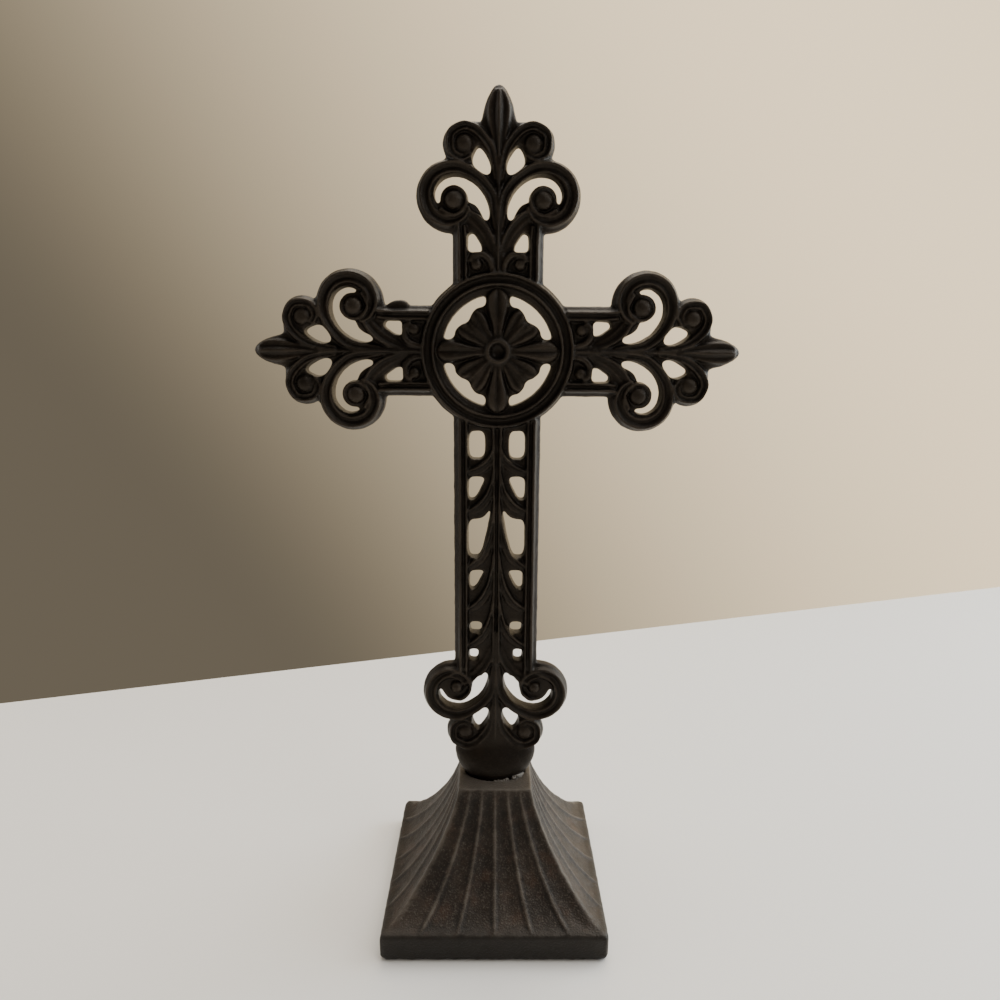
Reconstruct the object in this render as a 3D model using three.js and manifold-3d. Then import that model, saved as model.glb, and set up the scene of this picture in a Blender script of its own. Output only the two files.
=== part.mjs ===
// A standing cast-iron cross: an openwork cross with four matching leaf-scroll ends and a ringed
// rosette, its bowl-shaped foot set in the socket of a flared, ribbed square base.
// Millimetres, +Z up, X across the arms, the front faces -Y, the floor is Z = 0.
import * as THREE from 'three';
import { mergeVertices } from 'three/addons/utils/BufferGeometryUtils.js';
import Module from 'manifold-3d';

// Base
const baseSide = 90;
const plinthHeight = 12;
const plinthEdge = 1.2;
const flareFootSide = 88;
const topSide = 31;
const baseHeight = 56;
const flarePower = 0.75;
const baseWall = 5;
const ribsPerFace = 5;
const ribRise = 0.9;
const ribHalfShare = 0.022;
const socketDepth = 8;

// Cross: heights are above the floor, depths are forward of the base's middle
const crossHeight = 330;
const armReach = 94;
const ringCentreHeight = 235;
const back = -3.2;
const ground = 1.8;
const ridge = 4.2;
const crown = 5;
const ringRadius = 30.5;
const ringInner = 21.8;
const railOuter = 17.2;
const railWidth = 5.8;
const largeScroll = { across: 17.7, along: 56.5, radius: 13 };
const smallScroll = { across: 12.7, along: 74.6, radius: 8 };
const flankReach = 85;
const footHalfWidth = 14.8;
const footHalfDepth = 8.7;
const footHeight = 13;
const footLift = 1;
const footGrip = 4;
const tenonHalfWidth = 12.4;
const tenonHalfDepth = 8.2;
const tenonGap = 0.6;

// Values that follow from the ones above
const topReach = crossHeight - ringCentreHeight;
const footTop = baseHeight + footHeight;
const lowerScrollHeight = footTop + flankReach - footGrip;
const railInner = railOuter - railWidth;
const railAxis = railOuter - railWidth / 2;
const bandRise = ridge - ground;
const sunk = ground - 0.8;

const wasm = await Module();
wasm.setup();
const { Manifold, Mesh } = wasm;

function solid(geometry) {
  const bare = geometry.index ? geometry.toNonIndexed() : geometry.clone();
  bare.deleteAttribute('normal');
  bare.deleteAttribute('uv');
  const merged = mergeVertices(bare, 1e-4);
  return new Manifold(new Mesh({
    numProp: 3,
    vertProperties: merged.attributes.position.array,
    triVerts: new Uint32Array(merged.index.array),
  }));
}

function geometryOf(body) {
  const mesh = body.getMesh();
  const geometry = new THREE.BufferGeometry();
  geometry.setAttribute('position', new THREE.BufferAttribute(mesh.vertProperties, 3));
  geometry.setIndex(new THREE.BufferAttribute(mesh.triVerts, 1));
  const faceted = geometry.toNonIndexed();
  faceted.computeVertexNormals();
  return faceted;
}

// A body skinned over closed loops of points, all with the same count, capped at both ends.
function skin(loops) {
  const count = loops[0].length;
  const points = loops.flat();
  const faces = [];
  for (let row = 0; row + 1 < loops.length; row += 1) {
    for (let i = 0; i < count; i += 1) {
      const a = row * count + i;
      const b = row * count + (i + 1) % count;
      faces.push(a, b, b + count, a, b + count, a + count);
    }
  }
  const last = (loops.length - 1) * count;
  for (const [first, flip] of [[0, true], [last, false]]) {
    const middle = new THREE.Vector3();
    for (let i = 0; i < count; i += 1) middle.addScaledVector(points[first + i], 1 / count);
    points.push(middle);
    for (let i = 0; i < count; i += 1) {
      const edge = [first + i, first + (i + 1) % count];
      if (flip) edge.reverse();
      faces.push(...edge, points.length - 1);
    }
  }
  const geometry = new THREE.BufferGeometry().setFromPoints(points);
  geometry.setIndex(faces);
  return solid(geometry);
}

// A closed outline that rounds every corner of a polygon.
function softLoop(corners, roundness = 0.5, samples = 3) {
  const outline = [];
  corners.forEach((corner, i) => {
    const here = new THREE.Vector2(...corner);
    const before = new THREE.Vector2(...corners.at(i - 1)).lerp(here, 1 - roundness);
    const after = new THREE.Vector2(...corners[(i + 1) % corners.length]).lerp(here, 1 - roundness);
    outline.push(...new THREE.QuadraticBezierCurve(before, here, after).getPoints(samples));
  });
  return outline;
}

// A plate with the given outline between two depths.
function plate(outline, from, to) {
  const shape = new THREE.Shape(outline);
  const geometry = new THREE.ExtrudeGeometry(shape, { depth: to - from, bevelEnabled: false });
  return solid(geometry.translate(0, 0, from));
}

// A piece turned about the face's normal, from [radius, depth] steps listed from the rear out.
function turned(steps, segments, across = 0, along = 0) {
  const profile = steps.map(([radius, depth]) => new THREE.Vector2(radius, depth));
  const lathe = new THREE.LatheGeometry(profile, segments).rotateX(Math.PI / 2);
  return solid(lathe.translate(across, along, 0));
}

// The sections of a relief band, as [share of the half width, share of the height].
const roofSection = [[-1, 0], [0.15, 1], [1, 0]];
const groovedSection = [[-1, 0], [-0.55, 1], [0, 0.55], [0.55, 1], [1, 0]];

// A relief band along a curve, wide and high as the stops say.
// Each stop is [across, along, half width, height above the ground].
function band(stops, steps, section = roofSection) {
  const spine = new THREE.CatmullRomCurve3(
    stops.map(([across, along]) => new THREE.Vector3(across, along, 0)), false, 'centripetal');
  const loops = [];
  for (let i = 0; i <= steps; i += 1) {
    const u = i / steps * (stops.length - 1);
    const k = Math.min(Math.floor(u), stops.length - 2);
    const half = THREE.MathUtils.lerp(stops[k][2], stops[k + 1][2], u - k);
    const height = THREE.MathUtils.lerp(stops[k][3], stops[k + 1][3], u - k);
    const at = spine.getPoint(i / steps);
    const heading = spine.getTangent(i / steps);
    const side = new THREE.Vector3(heading.y, -heading.x, 0);
    const point = (share, depth) => at.clone().addScaledVector(side, share * half).setZ(depth);
    loops.push([
      point(-1, sunk),
      ...section.map(([share, rise]) => point(share, ground + rise * height)),
      point(1, sunk),
    ]);
  }
  return skin(loops);
}

// Stops along a scroll about a centre; each turn is [angle in degrees, radius, half width, height].
function scrollStops(centre, turns) {
  return turns.map(([angle, radius, half, height]) => {
    const theta = THREE.MathUtils.degToRad(angle);
    return [
      centre.across + radius * Math.cos(theta),
      centre.along + radius * Math.sin(theta),
      half,
      height,
    ];
  });
}

const mirrored = (bodies) => bodies.flatMap((body) => [body, body.mirror([1, 0, 0])]);
const through = (outline) => plate(outline, back - 1, crown + 1);
const dome = (radius, height, segments, centre) => turned([
  [0, sunk],
  [radius, sunk],
  [radius, ground + height * 0.4],
  [radius * 0.65, ground + height * 0.9],
  [0, ground + height],
], segments, centre.across, centre.along);

function scrollOutline(centre, fromDegrees, toDegrees, steps) {
  const arc = new THREE.EllipseCurve(
    centre.across, centre.along, centre.radius, centre.radius,
    THREE.MathUtils.degToRad(fromDegrees), THREE.MathUtils.degToRad(toDegrees));
  return arc.getPoints(steps);
}

// The outline of a leaf-scroll end, which grows along +Y from its root.
function endOutline(root, tip) {
  const right = [
    new THREE.Vector2(railOuter, root),
    new THREE.Vector2(railOuter, 43.4),
    ...scrollOutline(largeScroll, -88, 78, 10),
    ...scrollOutline(smallScroll, -34, 104, 6),
    ...tip.map((corner) => new THREE.Vector2(...corner)),
  ];
  const left = right.filter((p) => p.x > 0).map((p) => new THREE.Vector2(-p.x, p.y)).reverse();
  return [...right, ...left];
}

const tipFlanks = [[6.6, 82.3], [5.3, flankReach]];
const tipPoint = (reach) => [[3.5, reach - 4.2], [1.6, reach - 0.8], [0, reach]];

const crescentHole = softLoop([
  [3.2, 48.4], [3.8, 54.6], [10, 62.9], [20.4, 64], [25.2, 58.5], [22.8, 52.8],
  [19.8, 60.8], [14, 60.8], [11.6, 53.8], [7, 51.7],
], 0.5, 2);
const upperHole = softLoop([[2.2, 63], [2.6, 69.5], [7, 75], [11.6, 69.5], [6.2, 63]], 0.35, 1);
const lowerHole = softLoop([
  [6.2, 37], [railInner, 37], [railInner, 43], [9.4, 43.8], [6.4, 39.6],
], 0.3, 1);

function scrollEnd(root, reach) {
  const tip = reach ? [...tipFlanks, ...tipPoint(reach)] : tipFlanks;
  const body = plate(endOutline(root, tip), back, ground);
  const largeBand = band([
    [1.2, 44, 1.4, bandRise * 0.7],
    [2.4, 54.5, 2, bandRise * 0.8],
    ...scrollStops(largeScroll, [
      [150, 12, 2.6, bandRise],
      [112, 10.6, 3.2, bandRise],
      [75, 9.5, 3.4, bandRise],
      [38, 9.4, 3.4, bandRise],
      [0, 9.4, 3.4, bandRise],
      [-40, 9.4, 3.4, bandRise],
      [-80, 9.2, 3.3, bandRise],
      [-120, 7.8, 2.6, bandRise * 0.9],
      [-165, 6, 1.8, bandRise * 0.8],
    ]),
  ], 12);
  const smallBand = band([
    [1.4, 62.5, 1.2, bandRise * 0.7],
    [3, 71.5, 1.8, bandRise * 0.8],
    ...scrollStops(smallScroll, [
      [140, 7, 2.2, bandRise],
      [90, 5.4, 2.3, bandRise],
      [30, 5.2, 2.3, bandRise],
      [-30, 5.2, 2.2, bandRise],
      [-95, 4.8, 1.8, bandRise * 0.9],
      [-150, 3.4, 1.2, bandRise * 0.7],
    ]),
  ], 8);
  const lowerLeaf = band([
    [1, 36.5, 1.5, bandRise * 0.6],
    [4.6, 44.6, 2.4, bandRise * 0.9],
    [9, 49.4, 2.4, bandRise * 0.9],
    [13.2, 51.4, 1.6, bandRise * 0.6],
  ], 3);
  const rail = band([
    [railAxis, root, railWidth / 2, bandRise],
    [railAxis, 45, railWidth / 2, bandRise],
  ], 1, groovedSection);
  const curl = band([
    [1.4, 40, 1.4, bandRise * 0.6],
    [8.6, 35.4, 2, bandRise * 0.9],
    [9.6, 31, 1.6, bandRise * 0.8],
  ], 2);
  const raised = mirrored([
    rail,
    largeBand,
    smallBand,
    lowerLeaf,
    dome(3.9, crown - ground, 8, largeScroll),
    dome(2.2, bandRise * 0.8, 6, smallScroll),
  ]);
  raised.push(band([
    [0, root, 2.2, bandRise * 0.7],
    [0, 46, 2, bandRise],
    [0, 64, 1.6, bandRise],
  ], 2));
  if (reach) {
    raised.push(...mirrored([curl]), band([
      [0, 62, 1.2, bandRise * 0.6],
      [0, 72, 2.4, bandRise * 0.9],
      [0, 82, 4.4, bandRise],
      [0, 88, 3.4, bandRise],
      [0, reach - 1.6, 0.8, bandRise * 0.4],
    ], 4, groovedSection));
  }
  return Manifold.union([body, ...raised])
    .subtract(Manifold.union(mirrored([crescentHole, upperHole, lowerHole].map(through))));
}

// The shaft between the ring and the lower scrolls
const shaftTop = ringCentreHeight - ringInner;
const shaftFoot = lowerScrollHeight - 43;
const shaftAt = (share) => shaftFoot + (shaftTop - shaftFoot) * share;
// Corners of the holes in the shaft's right half, as [across, share of the shaft's height].
const shaftHoles = [
  [[4.2, 0.925], [railInner, 0.927], [railInner, 0.812], [4.2, 0.812]],
  [[3.8, 0.751], [railInner, 0.751], [railInner, 0.655], [8.4, 0.657]],
  [[2, 0.62], [5.4, 0.58], [railInner, 0.574], [railInner, 0.431], [6.2, 0.431]],
  [[3.8, 0.386], [railInner, 0.386], [railInner, 0.288], [8.2, 0.29]],
  [[5, 0.175], [10.6, 0.175], [10.6, 0.126], [5, 0.126]],
  [[6.4, 0.057], [11, 0.057], [11, 0.015], [6.4, 0.015]],
];
// Each drooping leaf pair springs from the stem at one share of the height and ends at another.
const shaftLeaves = [[0.847, 0.762], [0.744, 0.612], [0.584, 0.396], [0.395, 0.225], [0.235, 0.075]];

function shaft() {
  const outline = [
    [-railOuter, shaftFoot],
    [railOuter, shaftFoot],
    [railOuter, shaftTop],
    [-railOuter, shaftTop],
  ].map((corner) => new THREE.Vector2(...corner));
  const rail = band([
    [railAxis, shaftFoot - 4, railWidth / 2, bandRise],
    [railAxis, shaftTop, railWidth / 2, bandRise],
  ], 1, groovedSection);
  const leaves = shaftLeaves.map(([from, to]) => {
    const along = (share) => shaftAt(from + (to - from) * share);
    return band([
      [1.2, along(0), 1.2, bandRise * 0.7],
      [3.2, along(0.45), 1.9, bandRise],
      [6.6, along(0.8), 2.2, bandRise],
      [railInner - 0.4, along(1), 1.4, bandRise * 0.7],
    ], 3);
  });
  const stem = band([
    [0, shaftTop, 2.4, bandRise],
    [0, shaftAt(0.5), 1.8, bandRise],
    [0, shaftFoot - 20, 2.4, bandRise],
  ], 4);
  const holes = shaftHoles.map((corners) => through(softLoop(
    corners.map(([across, share]) => [across, shaftAt(share)]), 0.3, 1)));
  return Manifold.union([plate(outline, back, ground), stem, ...mirrored([rail, ...leaves])])
    .subtract(Manifold.union(mirrored(holes)));
}

// The ring with its rosette, about the ring's centre
const petalBearings = [0, 90, 180, 270];
const lobeBearings = petalBearings.flatMap((bearing) => [bearing + 31, bearing + 59]);
// Corners of the opening between two petals, as shares of the ring's inner radius.
const ringHole = softLoop([
  [0.2, 0.96], [0.41, 1.01], [0.8, 0.8], [1.01, 0.41], [0.96, 0.2], [0.72, 0.21],
  [0.515, 0.515], [0.21, 0.72],
].map(([across, along]) => [across * ringInner, along * ringInner]), 0.5, 2);

function petal(bearing, reach, halfWidth, section) {
  return band([
    [0, 3.6, halfWidth * 0.35, bandRise * 0.8],
    [0, 3.6 + (reach - 3.6) * 0.55, halfWidth, bandRise],
    [0, reach, halfWidth * 0.5, bandRise * 0.6],
  ], 2, section).rotate([0, 0, bearing]);
}

function ringAndRosette() {
  const disc = turned([[0, back], [ringRadius, back], [ringRadius, ground],
    [ringRadius - 1.8, ridge - 0.4], [ringRadius - 3.6, ridge - 1.4], [ringRadius - 5.4, ridge],
    [ringInner, ground], [0, ground]], 32);
  const centre = turned([[0, sunk], [5.2, sunk], [5, ridge - 0.4], [4, crown], [2.2, crown - 0.9],
    [0, crown - 1.1]], 10);
  const petals = [
    ...petalBearings.map((bearing) => petal(bearing, ringInner + 0.6, 4.2, groovedSection)),
    ...lobeBearings.map((bearing) => petal(bearing, ringInner * 0.75, 3.6, roofSection)),
  ];
  const holes = petalBearings.map((bearing) => through(ringHole).rotate([0, 0, bearing]));
  return Manifold.union([disc, centre, ...petals]).subtract(Manifold.union(holes));
}

// The bowl-shaped foot with the tenon that stands in the base's socket
function ellipseLoop(halfWidth, halfDepth, height) {
  const loop = [];
  for (let i = 0; i < 20; i += 1) {
    const theta = i / 10 * Math.PI;
    loop.push(new THREE.Vector3(
      halfWidth * Math.cos(theta), height, -halfDepth * Math.sin(theta)));
  }
  return loop;
}

function foot() {
  return skin([
    ellipseLoop(tenonHalfWidth, tenonHalfDepth, baseHeight - socketDepth + tenonGap),
    ellipseLoop(tenonHalfWidth, tenonHalfDepth, baseHeight + footLift),
    ellipseLoop(footHalfWidth - 0.8, footHalfDepth, baseHeight + footLift + 0.8),
    ellipseLoop(footHalfWidth + 1.3, footHalfDepth - 0.6, baseHeight + 5),
    ellipseLoop(footHalfWidth + 2.6, footHalfDepth - 2.2, baseHeight + 9.5),
    ellipseLoop(footHalfWidth + 2.2, footHalfDepth - 4.2, footTop),
  ]);
}

// The stub left where the metal was poured, on the upper rail of the left arm.
function pouringStub() {
  const railTop = ringCentreHeight + railOuter;
  const corners = [[-41, -2], [-41, 1.6], [-33.4, 2.8], [-33.4, -2]];
  const outline = softLoop(corners.map(([across, rise]) => [across, railTop + rise]), 0.3, 2);
  return plate(outline, back + 1, ground + 1);
}

function crossBody() {
  const arm = scrollEnd(ringInner, armReach);
  const atRing = [90, 270].map((bearing) => arm.rotate([0, 0, bearing]));
  atRing.push(scrollEnd(ringInner, topReach), ringAndRosette());
  const placed = atRing.map((body) => body.translate([0, ringCentreHeight, 0]));
  const lower = scrollEnd(lowerScrollHeight - shaftFoot, 0).rotate([0, 0, 180]);
  placed.push(lower.translate([0, lowerScrollHeight, 0]));
  placed.push(shaft(), foot(), pouringStub());
  return Manifold.union(placed).rotate([90, 0, 0]);
}

// Half width of the flare at a share of its rise, from its foot to the top.
function flareHalf(share) {
  const spread = (1 - share ** flarePower) ** (1 / flarePower);
  return (topSide + (flareFootSide - topSide) * spread) / 2;
}

// A square loop at a height, with the faces' ribs standing out by an amount.
function squareLoop(half, height, rise) {
  const stops = [[0, 0]];
  for (let rib = 1; rib <= ribsPerFace; rib += 1) {
    const share = rib / (ribsPerFace + 1);
    stops.push([share - ribHalfShare, 0], [share, rise], [share + ribHalfShare, 0]);
  }
  const loop = [];
  for (let face = 0; face < 4; face += 1) {
    for (const [share, out] of stops) {
      const point = new THREE.Vector3(-half + 2 * half * share, -half - out, height);
      loop.push(point.applyAxisAngle(new THREE.Vector3(0, 0, 1), face * Math.PI / 2));
    }
  }
  return loop;
}

function baseBody() {
  const plainLoop = (half, height) => [[-1, -1], [1, -1], [1, 1], [-1, 1]]
    .map(([x, y]) => new THREE.Vector3(x * half, y * half, height));
  const plinth = skin([
    plainLoop(baseSide / 2 - plinthEdge * 0.3, 0),
    plainLoop(baseSide / 2, plinthEdge),
    plainLoop(baseSide / 2 - plinthEdge * 0.3, plinthHeight - plinthEdge),
    plainLoop(flareFootSide / 2, plinthHeight),
  ]);
  const flareFoot = plinthHeight - 0.5;
  const shares = [0, 0.05, 0.14, 0.28, 0.48, 0.72, 1];
  const rise = (share) => flareFoot + (baseHeight - flareFoot) * share;
  const flare = skin(shares.map((share) => {
    const ribs = ribRise * Math.min(1, 0.25 + share * 12, 0.5 + (1 - share) * 4);
    return squareLoop(flareHalf(share), rise(share), ribs);
  }));
  const ceilingShare = (baseHeight - socketDepth - baseWall - flareFoot) / (baseHeight - flareFoot);
  const hollowShares = [...shares.filter((share) => share < ceilingShare), ceilingShare];
  const hollow = skin([
    plainLoop(baseSide / 2 - baseWall, -1),
    ...hollowShares.map((share) => plainLoop(flareHalf(share) - baseWall, rise(share))),
  ]);
  const socketHalves = [tenonHalfWidth + tenonGap, tenonHalfDepth + tenonGap];
  const socket = skin([
    ellipseLoop(...socketHalves, baseHeight - socketDepth),
    ellipseLoop(...socketHalves, baseHeight + 1),
  ]).rotate([90, 0, 0]);
  return Manifold.union([plinth, flare]).subtract(Manifold.union([hollow, socket]));
}

function node(name, body, colour) {
  const material = new THREE.MeshStandardMaterial({ color: colour, metalness: 0.6, roughness: 0.7 });
  const mesh = new THREE.Mesh(geometryOf(body), material);
  mesh.name = name;
  return mesh;
}

const group = new THREE.Group();
group.add(node('cross', crossBody(), 0x2a2420), node('base', baseBody(), 0x3a302a));
export default group;
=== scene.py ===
import math
import bpy
import numpy as np
from mathutils import Matrix, Vector, noise


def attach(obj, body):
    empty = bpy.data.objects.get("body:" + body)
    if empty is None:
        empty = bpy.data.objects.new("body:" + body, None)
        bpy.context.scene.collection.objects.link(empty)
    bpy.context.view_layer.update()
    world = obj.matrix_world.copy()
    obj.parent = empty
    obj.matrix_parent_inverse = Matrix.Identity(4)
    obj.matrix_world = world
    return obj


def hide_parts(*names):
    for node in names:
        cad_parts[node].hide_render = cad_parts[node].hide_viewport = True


# A cast-iron altar cross on its own flared base.
# The cross is drawn lying down: X across, Y up the shaft, Z towards the viewer, in millimetres.

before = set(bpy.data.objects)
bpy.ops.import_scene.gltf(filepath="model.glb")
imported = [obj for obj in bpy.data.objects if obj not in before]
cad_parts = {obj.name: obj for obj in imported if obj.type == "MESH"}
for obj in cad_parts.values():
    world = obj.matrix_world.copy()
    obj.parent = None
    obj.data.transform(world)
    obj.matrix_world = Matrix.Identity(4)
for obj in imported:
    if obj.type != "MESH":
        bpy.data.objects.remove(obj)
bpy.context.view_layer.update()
print("solids loaded:", sorted(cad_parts))


def meshOf(name, points, faces, edges=()):
    mesh = bpy.data.meshes.new(name)
    mesh.from_pydata([tuple(p) for p in points], list(edges), [tuple(f) for f in faces])
    mesh.update()
    return mesh


def placed(name, data):
    piece = bpy.data.objects.new(name, data)
    bpy.context.scene.collection.objects.link(piece)
    return piece


def dropped(*pieces):
    for piece in pieces:
        bpy.data.objects.remove(piece)


# the mesh that a piece's modifiers give
def settled(piece):
    bpy.context.view_layer.update()
    view = bpy.context.evaluated_depsgraph_get()
    return bpy.data.meshes.new_from_object(piece.evaluated_get(view))


# "co" gives the places of a mesh's points, "normal" their normals
def vectorsOf(mesh, kind):
    values = np.zeros(len(mesh.vertices) * 3)
    mesh.vertices.foreach_get(kind, values)
    return values.reshape(-1, 3)


def keepOnPoints(mesh, label, values):
    mesh.attributes.new(label, "FLOAT", "POINT").data.foreach_set("value", values)


def joined(name, meshes):
    points, faces, start = [], [], 0
    for mesh in meshes:
        points.append(vectorsOf(mesh, "co"))
        faces += [[v + start for v in face.vertices] for face in mesh.polygons]
        start += len(mesh.vertices)
    return meshOf(name, np.concatenate(points), faces)


def turned(degrees):
    return Matrix.Rotation(math.radians(degrees), 4, "Z")


def raised(distance):
    return Matrix.Translation((0, distance, 0))


def quarterTurn(quarter):
    return round(math.cos(quarter * math.pi / 2)), round(math.sin(quarter * math.pi / 2))


def movedBy(matrix, meshes):
    copies = []
    for mesh in meshes:
        copy = mesh.copy()
        copy.transform(matrix)
        copies.append(copy)
    return copies


def skinned(name, loops):
    count = len(loops[0])
    points = [p for loop in loops for p in loop]
    faces = []
    for row in range(len(loops) - 1):
        for i in range(count):
            j = (i + 1) % count
            a = row * count
            faces.append((a + i, a + j, a + count + j, a + count + i))
    faces.append(tuple(range(count))[::-1])
    faces.append(tuple((len(loops) - 1) * count + i for i in range(count)))
    return meshOf(name, points, faces)


# a round piece from (radius, height) steps, listed upwards
def lathed(name, steps, segments, centre=(0, 0)):
    around = np.linspace(0, 2 * math.pi, segments, endpoint=False)
    x, y = centre
    loops = [[(x + radius * math.cos(a), y + radius * math.sin(a), height) for a in around]
             for radius, height in steps]
    return skinned(name, loops)


def onArc(centre, radius, first, last, steps):
    angles = np.radians(np.linspace(first, last, steps + 1))
    return [(centre[0] + radius * math.cos(a), centre[1] + radius * math.sin(a)) for a in angles]


def softLoop(corners, rounding=0.5, samples=8):
    loop = []
    for i, corner in enumerate(corners):
        here = np.array(corner, float)
        before = np.array(corners[i - 1], float)
        after = np.array(corners[(i + 1) % len(corners)], float)
        first = before + (here - before) * (1 - rounding)
        last = after + (here - after) * (1 - rounding)
        for t in np.linspace(0, 1, samples + 1):
            loop.append(tuple((1 - t) ** 2 * first + 2 * t * (1 - t) * here + t * t * last))
    return [p for i, p in enumerate(loop) if math.dist(p, loop[i - 1]) > 0.02]


def areaOf(points):
    following = np.roll(points, -1, 0)
    return np.sum(points[:, 0] * following[:, 1] - following[:, 0] * points[:, 1]) / 2


def widened(loop, amount):
    points = np.array(loop, float)
    ahead = np.roll(points, -1, 0) - points
    ahead /= np.linalg.norm(ahead, axis=1)[:, None]
    behind = np.roll(ahead, 1, 0)
    outward = np.stack([ahead[:, 1] + behind[:, 1], -ahead[:, 0] - behind[:, 0]], 1)
    outward /= np.linalg.norm(outward, axis=1)[:, None]
    return points + outward * amount


# the cutter for an opening, a little wider in front as the mould leaves it
def openingCutter(loop, draft):
    if areaOf(np.array(loop)) < 0:
        loop = loop[::-1]
    levels = zip(crossSizes["cutterDepths"], (0, 0, draft, draft))
    return skinned("opening", [[(x, y, z) for x, y in widened(loop, out)] for z, out in levels])


def bothSides(loops):
    return loops + [[(-x, y) for x, y in loop][::-1] for loop in loops]


# a plate with bevelled edges
def plate(name, outline, rear, front, bevel):
    curve = bpy.data.curves.new(name, "CURVE")
    curve.dimensions = "2D"
    curve.fill_mode = "BOTH"
    curve.bevel_depth = bevel
    curve.bevel_resolution = 1
    curve.offset = -bevel
    curve.extrude = (front - rear) / 2 - bevel
    spline = curve.splines.new("POLY")
    spline.points.add(len(outline) - 1)
    for point, (x, y) in zip(spline.points, outline):
        point.co = (x, y, 0, 1)
    spline.use_cyclic_u = True
    piece = placed(name, curve)
    mesh = settled(piece)
    mesh.transform(Matrix.Translation((0, 0, (front + rear) / 2)))
    dropped(piece)
    return mesh


def newTree(name, sockets):
    tree = bpy.data.node_groups.new(name, "GeometryNodeTree")
    tree.interface.new_socket("Geometry", in_out="OUTPUT", socket_type="NodeSocketGeometry")
    tree.interface.new_socket("Geometry", in_out="INPUT", socket_type="NodeSocketGeometry")
    for label, kind in sockets:
        tree.interface.new_socket(label, in_out="INPUT", socket_type="NodeSocket" + kind)
    return tree, tree.nodes.new("NodeGroupInput").outputs, tree.nodes.new("NodeGroupOutput").inputs


# adds a node; a socket to be filled is given by its name, or by n and its number, with a value or a socket
def step(tree, kind, settings=None, **filled):
    made = tree.nodes.new(kind)
    for key, value in (settings or {}).items():
        setattr(made, key, value)
    for key, value in filled.items():
        numbered = key[0] == "n" and key[1:].isdigit()
        socket = made.inputs[int(key[1:]) if numbered else key.replace("_", " ")]
        if isinstance(value, bpy.types.NodeSocket):
            tree.links.new(value, socket)
        else:
            socket.default_value = value
    return made.outputs


def repeatedAround(tree, geometry, count):
    points = step(tree, "GeometryNodePoints", Count=count)
    order = step(tree, "GeometryNodeInputIndex")
    share = step(tree, "ShaderNodeMath", {"operation": "DIVIDE"}, n0=order[0], n1=count)
    angle = step(tree, "ShaderNodeMath", {"operation": "MULTIPLY"}, n0=share[0], n1=2 * math.pi)
    spin = step(tree, "ShaderNodeCombineXYZ", Z=angle[0])
    copies = step(tree, "GeometryNodeInstanceOnPoints", Points=points[0], Instance=geometry,
                  Rotation=spin[0])
    return copies[0]


def ended(tree, geometry, material, result):
    real = step(tree, "GeometryNodeRealizeInstances", Geometry=geometry)
    clad = step(tree, "GeometryNodeSetMaterial", Geometry=real[0], Material=material)
    tree.links.new(clad[0], result[0])


def noiseAt(tree, where, scale, detail):
    return step(tree, "ShaderNodeTexNoise", Vector=where, Scale=scale, Detail=detail)["Fac"]


def ranged(tree, value, span, first=0.0, last=1.0, kind="LINEAR"):
    return step(tree, "ShaderNodeMapRange", {"interpolation_type": kind}, Value=value,
                From_Min=span[0], From_Max=span[1], To_Min=first, To_Max=last)[0]


def tinted(tree, share, first, second):
    return step(tree, "ShaderNodeMix", {"data_type": "RGBA"}, n0=share, n6=first, n7=second)[2]


# What all the irons share. A span says at which values a change begins and is complete.
skin = {
    "cloudSpan": (0.38, 0.66),
    "cloudDetail": 8,
    "rustSpan": (0.52, 0.7),
    "rustScale": 1.7,              # of the clouds' scale
    "rustDetail": 10,
    "speckleSpan": (0.52, 0.72),
    "grainDetail": 3,
    "wearAndHighlightSpan": (0.58, 1.0),       # of the crest
    "wearAndHighlightClouds": (0.3, 0.6),
    "grimeAndShadeSpan": (0.44, 0.15),     # of the crest
    "footSpan": (0.0135, 0.0105),  # heights above the table where the plinth's painted shade begins and is complete, in metres
    "topLightShare": 0.55,
    "roughnessSpread": 0.3,
    "grainHeight": 0.0004,
}
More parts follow.
